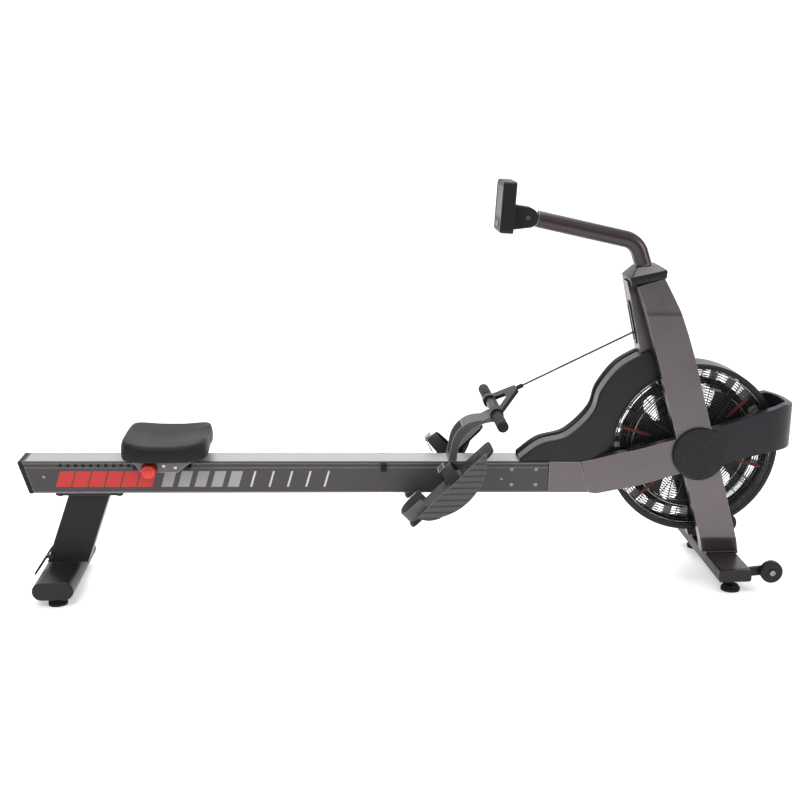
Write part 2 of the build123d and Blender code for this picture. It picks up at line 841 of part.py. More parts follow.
with BuildPart() as idler_pulley:
    with BuildSketch(side(7)):
        with Locations((idler_x, idler_z)):
            Circle(idler_radius + 4)
            Circle(6 + fit, mode=Mode.SUBTRACT)
    extrude(amount=14)
    with BuildSketch(side(3.6)):
        with Locations((idler_x, idler_z)):
            Circle(idler_radius + 5)
            Circle(idler_radius - 2, mode=Mode.SUBTRACT)
    extrude(amount=7.2, mode=Mode.SUBTRACT)
write(idler_pulley, "idler_pulley")

drop = Vector(spool_x - idler_x, 0, spool_z - idler_z)
square_to_drop = Vector(-drop.Z, 0, drop.X).normalized()
lay = asin((cord_lane + drum_lane) / drop.length)
touch = square_to_drop * cos(lay) + drop.normalized() * sin(lay)
idler_touch = Vector(idler_x, 0, idler_z) + touch * cord_lane
spool_touch = Vector(spool_x, 0, spool_z) - touch * drum_lane

with BuildPart() as inner_cord:
    with BuildLine() as inner_route:
        over = radians(86)
        start = Vector(idler_x, 0, idler_z) + Vector(cos(over), 0, sin(over)) * cord_lane
        crest_turn = radians(25)
        crest = Vector(idler_x, 0, idler_z)
        crest += Vector(cos(crest_turn), 0, sin(crest_turn)) * cord_lane
        ThreePointArc(start, crest, idler_touch)
        Line(idler_touch, spool_touch)
    with BuildSketch(Plane(origin=start, z_dir=inner_route.wire() % 0)):
        Circle(cord_radius)
    sweep()
write(inner_cord, "inner_cord")

with BuildPart() as cord_spool:
    with BuildSketch(side(12)):
        with Locations((spool_x, spool_z)):
            Circle(spool_radius)
    extrude(amount=24)
    for flange_y in (15, -12):
        with BuildSketch(side(flange_y)):
            with Locations((spool_x, spool_z)):
                Circle(spool_radius + 9)
        extrude(amount=3)
    with BuildSketch(side(belt_high + 1)):
        with Locations((spool_x, spool_z)):
            Circle(drive_radius)
    extrude(amount=belt_high - belt_low + 2)
    with BuildSketch(side(47)):
        with Locations((spool_x, spool_z)):
            Circle(8)
    extrude(amount=94)
write(cord_spool, "cord_spool")

# One welded bracket plugs into the rail's end, joins it to both arms and carries the spool.
with BuildPart() as spool_bracket:
    with BuildSketch(side(19.5)):
        with BuildLine():
            Polyline((rail_front + 0.2, -2), (-318, -2), (-300, -97), (rail_front + 0.2, -97),
                     close=True)
        make_face()
    extrude(amount=39)
    with BuildSketch(Plane.YZ.offset(rail_front - 60)):
        with Locations((0, -60)):
            Rectangle(38, 68)
    extrude(amount=60.2)
    with BuildSketch(Plane.XY.offset(9)):
        with Locations((-332, 0)):
            Rectangle(27, 94)
    extrude(amount=3)
    with BuildSketch(Plane.XY.offset(-2)):
        with Locations((-332, 0)):
            Rectangle(27, 38)
    extrude(amount=11)
    for plate_at in (47, -44):
        with BuildSketch(side(plate_at)):
            with BuildLine():
                Polyline((-345, 12), (-319, 12), (spool_x + 15, spool_z), (spool_x - 15, spool_z),
                         close=True)
            make_face()
            with Locations((spool_x, spool_z)):
                Circle(15)
                Circle(8 + fit, mode=Mode.SUBTRACT)
        extrude(amount=3)
write(spool_bracket, "spool_bracket")

with BuildPart() as recoil_housing:
    with BuildSketch(side(-18)):
        with Locations((spool_x, spool_z)):
            Circle(38)
            Circle(9, mode=Mode.SUBTRACT)
    extrude(amount=25.9)
    with BuildSketch(side(-21)):
        with Locations((spool_x, spool_z)):
            Circle(35)
            Circle(9, mode=Mode.SUBTRACT)
    extrude(amount=20, mode=Mode.SUBTRACT)
write(recoil_housing, "recoil_housing")

# The flat spiral spring that winds the cord back, as half circles of growing radius.
with BuildPart() as recoil_spring:
    with BuildSketch(side(-22)):
        with BuildLine():
            step = 1.7
            for half_turn in range(12):
                radius = 11 + step * half_turn
                centre = spool_x + (step / 2 if half_turn % 2 else -step / 2)
                sweep_from = 180 if half_turn % 2 else 0
                CenterArc((centre, spool_z), radius, sweep_from, 180)
        trace(line_width=0.7)
    extrude(amount=18)
write(recoil_spring, "recoil_spring")


# ================================================================ HANDLE
swivel_tail = Vector(swivel_x, 0, swivel_z) - cord_aim * 22

with BuildPart() as drive_cord:
    with BuildSketch(Plane(origin=Vector(swivel_x, 0, swivel_z) + cord_aim * gap, z_dir=cord_aim)):
        Circle(cord_radius)
    extrude(amount=(cord_end - Vector(swivel_x, 0, swivel_z)).length - gap)
write(drive_cord, "drive_cord")

with BuildPart() as cord_swivel:
    with BuildSketch(Plane(origin=swivel_tail, z_dir=cord_aim)):
        Circle(7)
    extrude(amount=22)
    chamfer(cord_swivel.faces().sort_by(Axis.X)[-1].edges(), length=2)
write(cord_swivel, "cord_swivel")

handle_bar = disc(handle_x, handle_z, 14, -handle_half + 2, handle_half - 2)
write(handle_bar, "handle_bar")

with BuildPart() as handle_grips:
    with BuildSketch(side(-132)):
        with Locations((handle_x, handle_z)):
            Circle(17)
    extrude(amount=handle_half - 132)
    fillet(handle_grips.faces().sort_by(Axis.Y)[0].edges(), radius=5)
    mirror(about=Plane.XZ)
    add(handle_bar.part, mode=Mode.SUBTRACT)
write(handle_grips, "handle_grips")

yoke_reach = swivel_tail - Vector(handle_x, 0, handle_z)
yoke_plane = Plane(origin=Vector(handle_x, 0, handle_z), x_dir=yoke_reach,
                   z_dir=Vector(-yoke_reach.Z, 0, yoke_reach.X))

with BuildPart() as handle_yoke:
    with BuildSketch(yoke_plane.offset(-6)):
        with BuildLine() as edge:
            Polyline((-4, 106), (22, 106), (yoke_reach.length, 27), (yoke_reach.length, -27),
                     (22, -106), (-4, -106), close=True)
        make_face()
        with BuildLine():
            Polyline((20, 62), (54, 21), (54, -21), (20, -62), close=True)
        make_face(mode=Mode.SUBTRACT)
    extrude(amount=12)
    for ring_y in (106, -70):
        with BuildSketch(side(ring_y)):
            with Locations((handle_x, handle_z)):
                Circle(21)
        extrude(amount=36)
    with BuildSketch(side(69.5)):
        with Locations((handle_x, handle_z)):
            Circle(14.5)
    extrude(amount=139, mode=Mode.SUBTRACT)
    add(handle_bar.part, mode=Mode.SUBTRACT)
    add(cord_swivel.part, mode=Mode.SUBTRACT)
write(handle_yoke, "handle_yoke")

# Cradle on the rail: two curved cheeks with a shallow seat that the bar slides out of.
with BuildPart() as handle_cradle:
    with BuildSketch(side(44)):
        with BuildLine():
            Line((-762, 0.1), (-752, 60))
            ThreePointArc((-752, 60), (-722, 110), (-658, 131))
            Line((-658, 131), (-634, 144))
            ThreePointArc((-634, 144), (-618, 145.6), (-606, 153))
            Line((-606, 153), (-600, 150))
            Line((-600, 150), (-612, 124))
            ThreePointArc((-612, 124), (-690, 100), (-732, 40))
            Line((-732, 40), (-736, 0.1))
            Line((-736, 0.1), (-762, 0.1))
        make_face()
    extrude(amount=88)
    with BuildSketch(Plane.XY.offset(5)):
        with Locations((-690, 0)):
            Rectangle(240, 76)
    extrude(amount=105, mode=Mode.SUBTRACT)
write(handle_cradle, "handle_cradle")


# ================================================================ FOOT REST
tilt = radians(foot_tilt)


def foot_plane(y, lift=0.0):
    """A plane on a foot plate: sketch X runs up the plate, sketch Y along +Y."""
    return Plane(origin=(foot_x - lift * sin(tilt), y, foot_z + lift * cos(tilt)),
                 x_dir=(cos(tilt), 0, sin(tilt)), z_dir=(-sin(tilt), 0, cos(tilt)))


cross_x, cross_z = -742.0, -114.3

with BuildPart() as foot_bracket:
    with BuildSketch(side(114)):
        with Locations((cross_x, cross_z)):
            Circle(14)
            Circle(11, mode=Mode.SUBTRACT)
    extrude(amount=228)
    for gusset_y in (90, 112, -86, -108):
        with BuildSketch(side(gusset_y)):
            with BuildLine():
                Polyline((-826.5, -115), (-700, 11.5), (-718, -112), (-764, -130), close=True)
            make_face()
            with Locations((cross_x, cross_z)):
                Circle(11, mode=Mode.SUBTRACT)
        extrude(amount=4)
write(foot_bracket, "foot_bracket")

with BuildPart() as foot_plates:
    for hand in (-1, 1):
        with BuildSketch(foot_plane(hand * foot_y, -8)):
            RectangleRounded(foot_length, foot_width, 24)
        extrude(amount=8)
        with BuildSketch(foot_plane(hand * foot_y, -8)):
            with Locations((-96, 0), (96, 0)):
                SlotOverall(60, 8)
        extrude(amount=8, mode=Mode.SUBTRACT)
write(foot_plates, "foot_plates")

for name, hand in (("heel_slider_near", -1), ("heel_slider_far", 1)):
    with BuildPart() as heel_slider:
        with BuildSketch(foot_plane(hand * foot_y, gap)):
            with Locations((-60, 0)):
                RectangleRounded(216, 98, 40)
        extrude(amount=5)
        with BuildSketch(foot_plane(hand * foot_y, gap + 5)):
            with Locations((-60, 0)):
                RectangleRounded(216, 98, 40)
                RectangleRounded(208, 90, 36, mode=Mode.SUBTRACT)
            with Locations((30, 0)):
                Rectangle(240, 120, mode=Mode.SUBTRACT)
        extrude(amount=34)
    write(heel_slider, name)

with BuildPart() as foot_guards:
    with BuildSketch(side(-foot_y - foot_width / 2 - 0.2)):
        with BuildLine():
            Line((-866, -131), (-664, 71))
            ThreePointArc((-664, 71), (-690, -52), (-790, -128))
            ThreePointArc((-790, -128), (-826, -140), (-866, -131))
        make_face()
    extrude(amount=4)
    mirror(about=Plane.XZ)
write(foot_guards, "foot_guards")

with BuildPart() as foot_straps:
    for hand, height in ((-1, 54), (1, 82)):
        strap_plane = foot_plane(hand * foot_y)
        with BuildSketch(Plane(origin=strap_plane.origin + strap_plane.x_dir * 6,
                               x_dir=(0, 1, 0), z_dir=strap_plane.x_dir)):
            Ellipse(57.8, height)
            Ellipse(55, height - 3, mode=Mode.SUBTRACT)
            with Locations((0, -50)):
                Rectangle(140, 100, mode=Mode.SUBTRACT)
        extrude(amount=40)
write(foot_straps, "foot_straps")


# ================================================================ SEAT
with BuildPart() as seat_pad:
    with BuildSketch(Plane.XY.offset(seat_under - seat_skirt)):
        with Locations(((seat_rear + seat_front) / 2, 0)):
            RectangleRounded(seat_front - seat_rear, 2 * seat_half, 44)
    extrude(amount=seat_thickness + seat_skirt)
    fillet(seat_pad.faces().sort_by(Axis.Z)[-1].edges(), radius=12)
    with BuildSketch(Plane.XY.offset(seat_under - seat_skirt)):
        with Locations(((seat_rear + seat_front) / 2, 0)):
            Rectangle(400, 2 * plate_y + 12)
    extrude(amount=seat_skirt, mode=Mode.SUBTRACT)
write(seat_pad, "seat_pad")

with BuildPart() as seat_carriage:
    with BuildSketch(Plane.XY.offset(seat_under - plate_gauge)):
        with Locations(((plate_rear + plate_front) / 2, 0)):
            RectangleRounded(plate_front - plate_rear, 2 * (plate_y + plate_gauge), 3)
    extrude(amount=plate_gauge)
    for plate_at in (plate_y + plate_gauge, -plate_y):
        with BuildSketch(side(plate_at)):
            with BuildLine():
                Polyline((plate_rear, seat_under - 1), (plate_front, seat_under - 1),
                         (plate_front, 14), (-1588, -24), (-1697, -24), (plate_rear, 14),
                         close=True)
            make_face()
        extrude(amount=plate_gauge)
    with BuildSketch(side(plate_y)):
        with Locations((roller_rear_x, roller_radius + gap), (roller_front_x, roller_radius + gap)):
            Circle(4)
    extrude(amount=2 * plate_y)
    with BuildSketch(side(-plate_y - plate_gauge)):
        with Locations((knob_x, groove_z)):
            Circle(12)
    extrude(amount=7)
    with BuildSketch(side(-70)):
        with Locations((knob_x, groove_z)):
            Circle(4 + fit)
    extrude(amount=30, mode=Mode.SUBTRACT)
write(seat_carriage, "seat_carriage")

for name, axle_at in (("seat_roller_rear", roller_rear_x), ("seat_roller_front", roller_front_x)):
    with BuildPart() as roller:
        for roller_y in (41, -17):
            with BuildSketch(side(roller_y)):
                with Locations((axle_at, roller_radius + gap)):
                    Circle(roller_radius)
                    Circle(4 + fit, mode=Mode.SUBTRACT)
            extrude(amount=24)
    write(roller, name)

# Nylon pads that run in the rail's grooves and hold the carriage down.
with BuildPart() as guide_pads:
    with BuildSketch(side(-47.4)):
        with Locations((-1712, groove_z), (-1560, groove_z)):
            Rectangle(20, 9.6)
    extrude(amount=plate_y - 47.4)
    mirror(about=Plane.XZ)
write(guide_pads, "guide_pads")

with BuildPart() as lock_knob:
    with BuildSketch(side(-plate_y - plate_gauge - 8)):
        with Locations((knob_x, groove_z)):
            Circle(23)
    extrude(amount=30)
    fillet(lock_knob.faces().sort_by(Axis.Y)[0].edges(), radius=4)
    with BuildSketch(side(-47.4)):
        with Locations((knob_x, groove_z)):
            Circle(4)
    extrude(amount=55)
write(lock_knob, "lock_knob")
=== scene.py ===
"""Looks of the rowing machine: camera, cord, materials, detailed pieces and studio.

Most positions are written in the rail frame, in millimetres: origin over the fan axle at the
height of the rail's top face, +X towards the fan, tilted with the rail. at() turns them into
the level frame, in metres.
"""

import json
from math import asin, atan2, cos, hypot, pi, radians, sin

import bmesh
import bpy
from mathutils import Matrix, Vector


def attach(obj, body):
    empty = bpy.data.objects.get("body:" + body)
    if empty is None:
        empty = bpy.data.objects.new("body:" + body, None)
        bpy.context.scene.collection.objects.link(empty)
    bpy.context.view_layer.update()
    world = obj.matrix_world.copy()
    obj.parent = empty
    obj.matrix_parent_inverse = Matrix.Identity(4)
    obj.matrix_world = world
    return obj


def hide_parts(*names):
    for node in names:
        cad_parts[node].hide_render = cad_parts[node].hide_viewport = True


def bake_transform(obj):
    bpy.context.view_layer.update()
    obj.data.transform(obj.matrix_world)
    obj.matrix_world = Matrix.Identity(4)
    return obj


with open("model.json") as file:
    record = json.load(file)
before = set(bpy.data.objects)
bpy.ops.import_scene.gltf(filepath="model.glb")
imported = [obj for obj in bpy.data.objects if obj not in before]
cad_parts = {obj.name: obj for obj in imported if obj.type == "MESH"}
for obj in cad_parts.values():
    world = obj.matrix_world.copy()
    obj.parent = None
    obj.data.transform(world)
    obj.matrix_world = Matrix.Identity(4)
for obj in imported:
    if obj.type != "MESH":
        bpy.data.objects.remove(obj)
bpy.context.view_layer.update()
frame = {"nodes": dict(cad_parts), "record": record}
nodes = frame["nodes"]
record = frame["record"]
scene = bpy.context.scene

slope = radians(1.4)
axle_z = 44.0           # the fan's axle stands over the frame's origin
groove_z = -13.0        # the rail's side grooves, with the index holes and the knob
knob_x = -1672.0
carriage_side = 84.0    # outer face of the seat carriage's side plates
bottom_z = -99.5        # just over the rail's underside


def turned(x, y, z):
    """A rail-frame direction, in the level frame."""
    return Vector((x * cos(slope) + z * sin(slope), y, -x * sin(slope) + z * cos(slope)))


def at(x, y, z):
    """A rail-frame point in millimetres, in the level frame in metres."""
    return turned(x, y, z) * 0.001 + Vector((0.883, 0, 0.371))


# ---------------------------------------------------------------- camera
def add_camera():
    """Long-lens camera standing off the near side, looking a little down and forward."""
    yaw, pitch, roll = radians(3.14), radians(13.61), radians(0.87)
    ahead = Vector((sin(yaw) * cos(pitch), cos(yaw) * cos(pitch), -sin(pitch)))
    right = Vector((cos(yaw), -sin(yaw), 0))
    up = right.cross(ahead)
    right, up = cos(roll) * right + sin(roll) * up, cos(roll) * up - sin(roll) * right
    lens = bpy.data.cameras.new("camera")
    lens.lens = 56.5
    lens.sensor_width = 36
    camera = bpy.data.objects.new("camera", lens)
    scene.collection.objects.link(camera)
    turn = Matrix([turned(*right), turned(*up), turned(*-ahead)]).transposed().to_4x4()
    camera.matrix_world = Matrix.Translation(at(-1118.1, -3757.2, 1094.2)) @ turn
    scene.camera = camera


add_camera()


# ---------------------------------------------------------------- materials
def node(tree, kind, inputs=None, **settings):
    """A shader node with its settings and its unlinked inputs."""
    made = tree.nodes.new(kind)
    for name, value in settings.items():
        setattr(made, name, value)
    for name, value in (inputs or {}).items():
        made.inputs[name].default_value = value
    return made


def mix(tree, factor, a, b):
    """Colour mix of a and b, each a socket or a colour, by a factor socket."""
    made = node(tree, "ShaderNodeMix", data_type="RGBA")
    tree.links.new(factor, made.inputs[0])
    for slot_at, value in ((6, a), (7, b)):
        if isinstance(value, tuple):
            made.inputs[slot_at].default_value = (*value, 1)
        else:
            tree.links.new(value, made.inputs[slot_at])
    return made.outputs[2]


def ranged(tree, value, low, high, to_low=0.0, to_high=1.0):
    """value mapped from low..high to to_low..to_high, and clamped."""
    made = node(tree, "ShaderNodeMapRange")
    for slot_at, number in zip((1, 2, 3, 4), (low, high, to_low, to_high)):
        made.inputs[slot_at].default_value = number
    tree.links.new(value, made.inputs[0])
    return made.outputs[0]


def noise(tree, coordinates, scale, detail=3.0, stretch=None):
    """A noise value; stretch scales the coordinates first, for brushed and worn looks."""
    if stretch:
        mapping = node(tree, "ShaderNodeMapping", {"Scale": stretch})
        tree.links.new(coordinates, mapping.inputs[0])
        coordinates = mapping.outputs[0]
    made = node(tree, "ShaderNodeTexNoise", {"Scale": scale, "Detail": detail})
    tree.links.new(coordinates, made.inputs["Vector"])
    return made.outputs[0]


def bands(tree, coordinates, axis, scale):
    """Even, soft-edged bands square to an axis."""
    made = node(tree, "ShaderNodeTexWave", {"Scale": scale, "Distortion": 0.0},
                bands_direction=axis, wave_profile="SIN")
    tree.links.new(coordinates, made.inputs["Vector"])
    return made.outputs["Fac"]


def surface(name, colour, roughness, metallic=0.0, grain=900.0, bump=0.12, grain_size=0.0004,
            mottle=0.10, edge=None, highlight_width=0.003, stretch=None, coat=0.0, sheen=0.0,
            weave=None, ribs=None, specular=0.5):
    """A painted, moulded, woven or brushed surface.

    mottle is the slow colour change, grain the fine bumps per metre, edge the colour of a painted
    highlight along rounded edges, weave the threads per metre, and ribs an axis and a scale for
    moulded grooves.
    """
    material = bpy.data.materials.new(name)
    material.use_nodes = True
    tree = material.node_tree
    shader = tree.nodes["Principled BSDF"]
    place = node(tree, "ShaderNodeTexCoord").outputs["Object"]

    slow = noise(tree, place, 7.0, 4.0, stretch)
    fine = noise(tree, place, grain, 2.0, stretch)
    dark = tuple(c * (1 - mottle) for c in colour)
    light = tuple(min(1.0, c * (1 + mottle)) for c in colour)
    shade = mix(tree, ranged(tree, slow, 0.3, 0.7), dark, light)
    shade = mix(tree, ranged(tree, fine, 0.45, 0.75, 0.0, 0.35), shade, light)
    height = fine
    if weave:
        across = bands(tree, place, "X", weave)
        along = bands(tree, place, "Y", weave)
        over = node(tree, "ShaderNodeMath", operation="MAXIMUM")
        tree.links.new(across, over.inputs[0])
        tree.links.new(along, over.inputs[1])
        height = over.outputs[0]
        # Painted shade: the gaps between the threads are darkened to half the colour.
        shade = mix(tree, ranged(tree, height, 0.2, 0.9), tuple(c * 0.5 for c in colour), shade)
    if ribs:
        # Painted shade: the rib grooves are darkened to 0.35 of the colour, as well as deepened in
        # the bump.
        groove = ranged(tree, bands(tree, place, *ribs), 0.0, 0.25)
        shade = mix(tree, groove, tuple(c * 0.35 for c in colour), shade)
        added = node(tree, "ShaderNodeMath", {1: 3.0}, operation="MULTIPLY_ADD")
        tree.links.new(groove, added.inputs[0])
        tree.links.new(height, added.inputs[2])
        height = added.outputs[0]
    # Painted highlight: where the bevel normal turns away from the face normal, the colour is mixed
    # towards the edge colour.
    if edge:
        bevel = node(tree, "ShaderNodeBevel", {"Radius": highlight_width}, samples=6)
        flat = node(tree, "ShaderNodeNewGeometry").outputs["Normal"]
        highlight_dot = node(tree, "ShaderNodeVectorMath", operation="DOT_PRODUCT")
        tree.links.new(bevel.outputs[0], highlight_dot.inputs[0])
        tree.links.new(flat, highlight_dot.inputs[1])
        shade = mix(tree, ranged(tree, highlight_dot.outputs["Value"], 0.985, 0.90), shade, edge)
    tree.links.new(shade, shader.inputs["Base Color"])
    tree.links.new(ranged(tree, slow, 0.3, 0.7, roughness - 0.05, roughness + 0.06),
                   shader.inputs["Roughness"])
    relief = node(tree, "ShaderNodeBump", {"Strength": bump, "Distance": grain_size})
    tree.links.new(height, relief.inputs["Height"])
    tree.links.new(relief.outputs[0], shader.inputs["Normal"])
    shader.inputs["Metallic"].default_value = metallic
    shader.inputs["Coat Weight"].default_value = coat
    shader.inputs["Sheen Weight"].default_value = sheen
    shader.inputs["Specular IOR Level"].default_value = specular
    return material


# Each edge colour below is a painted highlight along rounded edges, lighter than its base colour.
gunmetal = surface("gunmetal_paint", (0.118, 0.103, 0.109), 0.30, 0.85, bump=0.08,
                   edge=(0.42, 0.395, 0.405), highlight_width=0.0018)
dark_gunmetal = surface("dark_gunmetal", (0.046, 0.036, 0.039), 0.30, 0.6, bump=0.06,
                        edge=(0.40, 0.37, 0.38), highlight_width=0.003)
cap_grey = surface("cap_grey", (0.14, 0.134, 0.139), 0.55, bump=0.08, specular=0.25)
rail_paint = surface("rail_paint", (0.050, 0.045, 0.048), 0.42, 0.4, bump=0.10,
                     edge=(0.30, 0.28, 0.29), highlight_width=0.003)
track = surface("brushed_track", (0.40, 0.39, 0.395), 0.38, 0.8, grain=60, bump=0.05,
                stretch=(4, 180, 180), mottle=0.05)
black_paint = surface("black_paint", (0.012, 0.012, 0.014), 0.36, 0.1, bump=0.10,
                      edge=(0.07, 0.07, 0.074), specular=0.2)
wire_black = surface("wire_black", (0.012, 0.012, 0.013), 0.33, 0.3, bump=0.05)
plastic = surface("moulded_black", (0.009, 0.009, 0.011), 0.44, grain=1400, bump=0.20,
                  edge=(0.04, 0.04, 0.044), highlight_width=0.002, specular=0.22)
satin = surface("satin_black", (0.008, 0.008, 0.011), 0.32, grain=2200, bump=0.05, mottle=0.05,
                specular=0.27)
gloss = surface("gloss_black", (0.010, 0.010, 0.012), 0.28, grain=300, bump=0.02, specular=0.3)
grey_plastic = surface("textured_grey", (0.062, 0.058, 0.062), 0.60, grain=420, bump=0.55,
                       grain_size=0.0009, edge=(0.20, 0.19, 0.20), highlight_width=0.002)
cradle_grey = surface("cradle_grey", (0.060, 0.058, 0.062), 0.5, grain=900, bump=0.3,
                      edge=(0.38, 0.37, 0.38), highlight_width=0.004)
guard_plastic = surface("ribbed_grey", (0.062, 0.057, 0.060), 0.55, grain=700, bump=0.35,
                        grain_size=0.0012, edge=(0.15, 0.145, 0.15), ribs=("Z", 17.0),
                        specular=0.35)
steel = surface("machined_steel", (0.50, 0.49, 0.50), 0.30, 0.9, grain=300, bump=0.06,
                stretch=(30, 3, 30), edge=(0.75, 0.74, 0.74), highlight_width=0.0015)
seat_plate = surface("seat_plate_paint", (0.11, 0.105, 0.112), 0.36, 0.6, bump=0.08,
                     edge=(0.40, 0.39, 0.40), highlight_width=0.003)
rubber = surface("rubber", (0.010, 0.010, 0.010), 0.70, grain=700, bump=0.30, mottle=0.2,
                 specular=0.2)
red = surface("red_plastic", (0.56, 0.020, 0.012), 0.38, grain=500, bump=0.05, mottle=0.06,
              edge=(0.85, 0.16, 0.10), highlight_width=0.0015)
red_ink = surface("red_print", (0.47, 0.018, 0.014), 0.55, grain=1200, bump=0.03, mottle=0.05)
grey_ink = surface("grey_print", (0.27, 0.26, 0.265), 0.5, grain=1200, bump=0.03, mottle=0.05)
accent = surface("accent_red", (0.22, 0.012, 0.010), 0.5, grain=500, bump=0.2)
bolt_steel = surface("dark_bolt", (0.20, 0.195, 0.20), 0.32, 0.85, grain=300, bump=0.08,
                     edge=(0.6, 0.6, 0.6), highlight_width=0.001)
light_ink = surface("light_print", (0.48, 0.47, 0.475), 0.5, grain=1200, bump=0.03,
                    mottle=0.04)
foam = surface("seat_skin", (0.010, 0.0095, 0.011), 0.48, grain=650, bump=0.35,
               grain_size=0.0006, specular=0.16)
webbing = surface("woven_strap", (0.012, 0.012, 0.013), 0.75, weave=260, bump=0.6,
                  grain_size=0.0008, sheen=0.12, specular=0.3)
braid = surface("braided_cord", (0.030, 0.028, 0.030), 0.65, weave=420, bump=0.7,
                grain_size=0.0006, sheen=0.2)
screen = surface("screen_glass", (0.022, 0.028, 0.027), 0.32, grain=150, bump=0.01, specular=0.25)

by_slot = {"frame_grey": gunmetal, "rail_grey": rail_paint, "track_steel": track,
           "frame_black": black_paint, "black_plastic": plastic, "gloss_black": gloss,
           "grey_plastic": grey_plastic, "steel": steel, "rubber": rubber, "red_plastic": red,
           "seat_foam": foam, "webbing": webbing, "cord": braid, "screen_glass": screen}
by_node = {"seat_carriage": seat_plate, "foot_guards": guard_plastic, "cage_rim": satin,
           "front_bumper": satin, "monitor_arm": dark_gunmetal, "fan_wheel": wire_black,
           "handle_bar": black_paint, "frame_bolts": bolt_steel, "wheel_bolts": bolt_steel,
           "front_base": black_paint, "handle_cradle": cradle_grey, "tube_caps": satin,
           "cord_swivel": black_paint}

for part in record["subparts"]:
    shown = nodes[part["node"]]
    shown.data.materials.clear()
    shown.data.materials.append(by_node.get(part["node"], by_slot[part["material_slot"]]))


def soften(name, width):
    """Rounds a CAD node's hard edges with modifiers; its own mesh stays as it is."""
    shown = nodes[name]
    weld = shown.modifiers.new("weld", "WELD")
    weld.merge_threshold = 0.00002
    flat = shown.modifiers.new("flat", "DECIMATE")
    flat.decimate_type = "DISSOLVE"
    flat.angle_limit = radians(0.6)
    bevel = shown.modifiers.new("bevel", "BEVEL")
    bevel.width = width
    bevel.segments = 3
    bevel.limit_method = "ANGLE"
    bevel.angle_limit = radians(32)
    bevel.use_clamp_overlap = True
    normals = shown.modifiers.new("normals", "WEIGHTED_NORMAL")
    normals.keep_sharp = False
    normals.weight = 80


for name, width in (("tower_leg_near", 0.004), ("tower_leg_far", 0.004),
                    ("side_arm_near", 0.003), ("side_arm_far", 0.003),
                    ("front_bumper", 0.007), ("rear_leg", 0.002),
                    ("console_case", 0.003), ("handle_yoke", 0.0025), ("front_base", 0.002),
                    ("handle_cradle", 0.002), ("tower_column", 0.003)):
    soften(name, width)


# ---------------------------------------------------------------- mesh helpers
def piece(name, points, faces, material, body, slot, *replaced, angle=35, bevel=0.0):
    """A mesh piece on a body, smooth except at edges sharper than angle."""
    mesh = bpy.data.meshes.new(name)
    mesh.from_pydata([tuple(p) for p in points], [], faces)
    mesh.validate()
    build = bmesh.new()
    build.from_mesh(mesh)
    bmesh.ops.recalc_face_normals(build, faces=build.faces)
    build.to_mesh(mesh)
    build.free()
    mesh.materials.append(material)
    made = bpy.data.objects.new(name, mesh)
    scene.collection.objects.link(made)
    if bevel:
        round_off = made.modifiers.new("bevel", "BEVEL")
        round_off.width = bevel
        round_off.segments = 5
        round_off.limit_method = "ANGLE"
        round_off.angle_limit = radians(50)
        bpy.context.view_layer.update()
        settled = bpy.data.meshes.new_from_object(
            made.evaluated_get(bpy.context.evaluated_depsgraph_get()))
        made.modifiers.clear()
        made.data = settled
    made.data.shade_smooth()
    made.data.set_sharp_from_angle(angle=radians(angle))
    if replaced:
        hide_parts(*replaced)
    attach(made, body)
    return made


